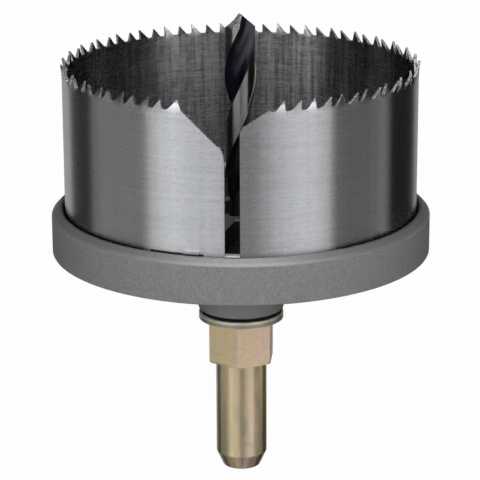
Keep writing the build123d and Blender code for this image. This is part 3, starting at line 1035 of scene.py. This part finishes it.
def yellow_zinc(arbor):
    """Yellow-passivated zinc: tan, with drifts of gold, rose and green, the +X side rosier and
    lighter as painted light, silvery on the flange with a painted highlight along its top edge.

    The hexagon is speckled, with painted highlights along its corners. The shank's sides carry
    painted shade in olive, darker towards its end, with the +X side gold and lighter as painted
    light near the hexagon. The lead-in is brown.
    """
    finish = Finish("yellow_zinc")
    x, _, z, r = finish.coordinates()
    cloud = finish.noise(150.0, 2.0, 0.5, stretch=(1, 1, 0.5))
    drift = finish.noise(260.0, 3.0, 0.6, stretch=(1.2, 1.2, 0.6))
    speck = finish.noise(1400.0, 3.0, 0.65)
    mottle = finish.noise(800.0, 3.0, 0.7)
    hex_top = arbor.shank_length + arbor.hexagon_length
    flange = z.above(hex_top + 0.1 * MM, 0.2 * MM)
    # painted highlight along the flange's upper edge
    flange_highlight = z.above(hex_top + 0.8 * MM, 0.3 * MM)
    hexagon = z.above(arbor.shank_length + 0.3 * MM, 0.2 * MM) * (1 - flange)
    # painted highlight: a light line along each corner of the hexagon
    corner = r.above(arbor.hexagon / sqrt(3) - 0.12 * MM, 0.12 * MM) * hexagon
    turned = 1 - hexagon
    # painted shade and light on the shank's sides: olive shade at both sides, darker towards the
    # end, gold and lighter on +X near the hexagon
    left = (-x).above(2.8 * MM, 1.4 * MM) * turned
    right = x.above(3.4 * MM, 1.2 * MM) * turned
    low = z.below(0.6 * arbor.shank_length, 0.7 * arbor.shank_length)
    end = z.below(arbor.lead_length, 0.3 * MM)
    # partly painted light: the +X side is rosier and lighter
    rosy_lit_side = (x / arbor.hexagon + cloud - 0.55).above(0.0, 0.5)
    zinc = tuple(arbor.zinc)
    warm = finish.mix(rosy_lit_side, tinted(zinc, 1.14, 1.05, 0.84), tinted(zinc, 1.28, 1.08, 1.2))
    green = 0.7 * drift.above(0.56, 0.2) * (1 - 0.6 * hexagon)
    spots = ((speck - 0.5) * 3 + 0.5).above(0.5, 1.0) * (0.05 + 0.45 * hexagon)
    blotch = 0.4 * hexagon * mottle.above(0.52, 0.2) * (0.3 + 0.7 * rosy_lit_side)
    shade = finish.layered(
        warm,
        (green, tinted(zinc, 0.66, 0.80, 0.70)),
        (spots + 0.3 * turned, (0.96, 0.86, 0.66)),
        (blotch, (0.92, 0.56, 0.40)),
        # painted highlight along the hexagon's corners
        (0.4 * corner, (1.0, 0.94, 0.82)),
        # painted light and shade on the shank's +X side, and painted shade on its -X side
        (0.8 * right, finish.mix(low, (0.95, 0.80, 0.42), (0.40, 0.38, 0.16))),
        (left * (0.35 + 0.4 * low), (0.30, 0.31, 0.20)),
        (0.6 * end, (0.36, 0.25, 0.18)),
        # the flange, with a painted highlight along its upper edge
        (0.85 * flange, finish.mix(flange_highlight, (0.36, 0.35, 0.28), (0.80, 0.80, 0.70))),
    )
    metal = 0.86 - 0.12 * hexagon - 0.25 * flange
    rough = 0.23 + 0.1 * (speck - 0.5) * hexagon + 0.14 * hexagon + 0.1 * flange
    return finish.made(shade, rough, speck * hexagon, 0.012, Metallic=metal)


def drill_steel():
    """Black oxide, with a ground point and ground lands, which lower down, deep in the holder's
    cup, are painted black as painted shade.
    """
    finish = Finish("drill_steel", {"Specular IOR Level": 0.55, **SPREAD})
    _, _, z, r = finish.coordinates()
    # the top clear of painted shade: below it the lands are painted black as shade deep in the
    # cup
    unshaded_top = z.above(DRILL_HIGH[2] - 32 * MM, 8 * MM)
    point = (z + 0.6 * r).above(DRILL_HIGH[2] - 0.7 * MM, 0.3 * MM)
    ground = finish.attribute("worked") * unshaded_top
    fine = finish.noise(1.0, 3.0, 0.6, stretch=(1800, 1800, 150))
    speck = finish.noise(2500.0, 3.0, 0.6)
    bright = finish.mix(fine * 0.7 + speck * 0.3, (0.16, 0.16, 0.155), (0.62, 0.62, 0.60))
    black = finish.mix(fine, (0.002, 0.002, 0.004), (0.008, 0.008, 0.018))
    wheel = finish.mix((speck - 0.5) * 3 + 0.5, grey(0.10), (0.62, 0.62, 0.61))
    shade = finish.mix(ground, black, finish.mix(point, bright, wheel))
    metal = ground * (1 - 0.6 * point)
    rough = 0.24 + 0.08 * ground + 0.10 * fine + 0.15 * point
    return finish.made(shade, rough, fine + speck * 0.4, 0.006, Metallic=metal)


def black_oxide():
    """Black oxide on steel, worn a little lighter in places."""
    finish = Finish("black_oxide", {"Metallic": 0.3, "Specular IOR Level": 0.15})
    wear = finish.noise(900.0, 3.0, 0.6)
    shade = finish.mix(wear, grey(0.002), grey(0.008))
    return finish.made(shade, 0.5 + 0.2 * wear, wear, 0.01)


# ----- Studio -----

# Brightness of the room seen level from the tool, by angle from the front, towards +X positive
ROOM = (
    (-180, 0.48), (-143, 0.48), (-139, 0.05), (-114, 0.05), (-108, 0.35), (-63, 0.33),
    (-58, 0.84), (-45, 0.94), (-30, 0.72), (-12, 0.68), (-4, 0.22), (8, 0.22),
    (24, 0.62), (40, 0.86), (56, 0.82), (59, 0.74), (61, 0.21), (98, 0.21),
    (101, 0.36), (108, 0.36), (112, 0.02), (148, 0.02), (153, 0.36), (180, 0.48),
)
# The front of the room, with its two bright panels, reaches this far to each side
FRONT = 61
# Soft lights for matt surfaces: direction (x, y, z), the level where a light starts, brightness
LIGHTS = (
    ((-0.03, -0.99, 0.16), 0.78, 3.0),
    ((0.3, -0.5, 0.81), 0.78, 0.3),
    ((0.0, 0.93, 0.37), 0.85, 1.6),
)


def make_world():
    """The room that polished surfaces show, soft lights for matt ones, and white to the camera.

    The room is the table's brightness up to a level edge. Above it the front is bright and the
    rest is dark, and in front the light grows with height.
    """
    world = bpy.data.worlds.new("studio")
    world.use_nodes = True
    bpy.context.scene.world = world
    world.cycles.sampling_method = "NONE"
    kit = Kit(world.node_tree)
    x, y, z = kit.split("Generated")
    turn = kit.maths("ARCTAN2", x, -y) / (2 * pi) + 0.5
    stops = [((place + 180) / 360, level) for place, level in ROOM]
    ramp = kit.node("ValToRGB", {"stops": stops}, {"Fac": turn})
    rays = kit.node("LightPath").outputs
    in_front = kit.maths("ABSOLUTE", turn - 0.5).below(FRONT / 360, 0.01)
    ceiling = kit.mix(in_front, grey(0.02), grey(0.75))
    tint = kit.mix(in_front, (1.0, 0.98, 0.94), (0.97, 0.99, 1.0))
    room = kit.mix(ramp.outputs[0], grey(0.0), tint)
    boost = 1 + (1.75 * z.above(0.1, 0.3) - 0.33) * in_front
    edge = in_front * 0.75 - 0.05
    lit = kit.scale(kit.mix(z.above(edge, 0.2), room, ceiling), boost)
    soft = sum(
        (x * out[0] + y * out[1] + z * out[2]).above(level, 0.2) * brightness
        for out, level, brightness in LIGHTS
    )
    even = kit.scale(grey(1.0), soft + 0.03)
    light = kit.mix(rays["Is Glossy Ray"], even, lit)
    shown = kit.mix(rays["Is Camera Ray"], light, grey(1.0))
    back = kit.shade_node("Background", Color=shown, Strength=1.0)
    kit.node("OutputWorld", None, {"Surface": back})


def make_floor(studio):
    """A pale floor under the tool that is white to the camera apart from the tool's shadow."""
    reach = 3.0
    line = np.linspace(-reach, reach, 9)
    x, y = np.meshgrid(line, line)
    shell = Shell()
    shell.grid(np.stack([x, y, 0 * x - studio.floor_drop], axis=-1))
    floor = shell.build("studio_floor")
    material = bpy.data.materials.new("pale_floor")
    material.use_nodes = True
    kit = Kit(material.node_tree)
    camera = kit.node("LightPath").outputs["Is Camera Ray"]
    pale = kit.mix(camera, grey(0.35), grey(0.9))
    matt = kit.shade_node("BsdfDiffuse", Color=pale)
    glow = kit.shade_node("Emission", Color=grey(1), Strength=1.0)
    clear = kit.shade_node("BsdfTransparent")
    under = kit.node("NewGeometry").outputs["Backfacing"]
    lift = Value(kit, camera) * 0.97
    lit = kit.node("MixShader", None, {0: lift, 1: matt, 2: glow}).outputs[0]
    both = kit.node("MixShader", None, {0: under, 1: lit, 2: clear}).outputs[0]
    kit.node("OutputMaterial", None, {"Surface": both})
    floor.data.materials.append(material)
    floor.visible_glossy = False


def make_camera(studio):
    """A long lens in front of the tool, looking down."""
    data = bpy.data.cameras.new("camera")
    data.lens = studio.lens
    data.clip_start = 0.01
    data.clip_end = 20.0
    camera = bpy.data.objects.new("camera", data)
    place = Vector((studio.sideways, -studio.distance, studio.height))
    look = Matrix.Rotation(pi / 2 - studio.pitch, 4, "X")
    roll = Matrix.Rotation(studio.roll, 4, "Z")
    camera.matrix_world = Matrix.Translation(place) @ look @ roll
    bpy.context.scene.collection.objects.link(camera)
    bpy.context.scene.camera = camera


# ----- Operators -----


class HOLESAW_OT_blade(bpy.types.Operator):
    """Make the toothed strip"""

    bl_idname = "hole_saw.blade"
    bl_label = "Blade"

    def execute(self, context):
        blade = context.scene.hole_saw_blade
        dress(make_blade(blade), "saw_blade", brushed_steel(blade))
        return {"FINISHED"}


class HOLESAW_OT_holder(bpy.types.Operator):
    """Make the cast holder and its ribs"""

    bl_idname = "hole_saw.holder"
    bl_label = "Holder"

    def execute(self, context):
        scene = context.scene
        holder = scene.hole_saw_holder
        finish = cast_alloy(holder)
        casting = make_holder(holder, scene.hole_saw_blade, scene.hole_saw_arbor)
        for piece in (casting, make_ribs(holder, scene.hole_saw_blade)):
            dress(piece, "blade_holder", finish)
        return {"FINISHED"}


class HOLESAW_OT_arbor(bpy.types.Operator):
    """Make the arbor, its washer and its set screw"""

    bl_idname = "hole_saw.arbor"
    bl_label = "Arbor"

    def execute(self, context):
        arbor = context.scene.hole_saw_arbor
        oxide = black_oxide()
        body = make_arbor(arbor)
        cut_screw_hole(body, arbor)
        dress(body, "arbor", yellow_zinc(arbor))
        dress(make_washer(arbor), "flange_washer", oxide)
        dress(make_screw(arbor), "drill_set_screw", oxide)
        return {"FINISHED"}


class HOLESAW_OT_drill(bpy.types.Operator):
    """Make the pilot drill"""

    bl_idname = "hole_saw.drill"
    bl_label = "Pilot drill"

    def execute(self, context):
        drill = context.scene.hole_saw_drill
        dress(make_drill(drill), "pilot_drill", drill_steel())
        return {"FINISHED"}


class HOLESAW_OT_studio(bpy.types.Operator):
    """Make the floor, the light and the camera"""

    bl_idname = "hole_saw.studio"
    bl_label = "Studio"

    def execute(self, context):
        studio = context.scene.hole_saw_studio
        make_world()
        make_floor(studio)
        make_camera(studio)
        context.scene.view_settings.view_transform = "Standard"
        return {"FINISHED"}


class HOLESAW_PT_panel(bpy.types.Panel):
    """Lists the steps that dress the tool"""

    bl_idname = "HOLESAW_PT_panel"
    bl_label = "Hole Saw"
    bl_space_type = "VIEW_3D"
    bl_region_type = "UI"
    bl_category = "Hole Saw"

    def draw(self, context):
        for step in OPERATORS:
            self.layout.operator(step.bl_idname)


SETTINGS = {
    "hole_saw_blade": BladeSettings,
    "hole_saw_holder": HolderSettings,
    "hole_saw_arbor": ArborSettings,
    "hole_saw_drill": DrillSettings,
    "hole_saw_studio": StudioSettings,
}
OPERATORS = (
    HOLESAW_OT_blade, HOLESAW_OT_holder, HOLESAW_OT_arbor, HOLESAW_OT_drill, HOLESAW_OT_studio
)


def register():
    for name, group in SETTINGS.items():
        bpy.utils.register_class(group)
        setattr(bpy.types.Scene, name, PointerProperty(type=group))
    for step in (*OPERATORS, HOLESAW_PT_panel):
        bpy.utils.register_class(step)


def unregister():
    for step in (HOLESAW_PT_panel, *reversed(OPERATORS)):
        bpy.utils.unregister_class(step)
    for name, group in SETTINGS.items():
        delattr(bpy.types.Scene, name)
        bpy.utils.unregister_class(group)


def main():
    register()
    for step in OPERATORS:
        family, name = step.bl_idname.split(".")
        getattr(getattr(bpy.ops, family), name)()


if __name__ == "__main__":
    main()
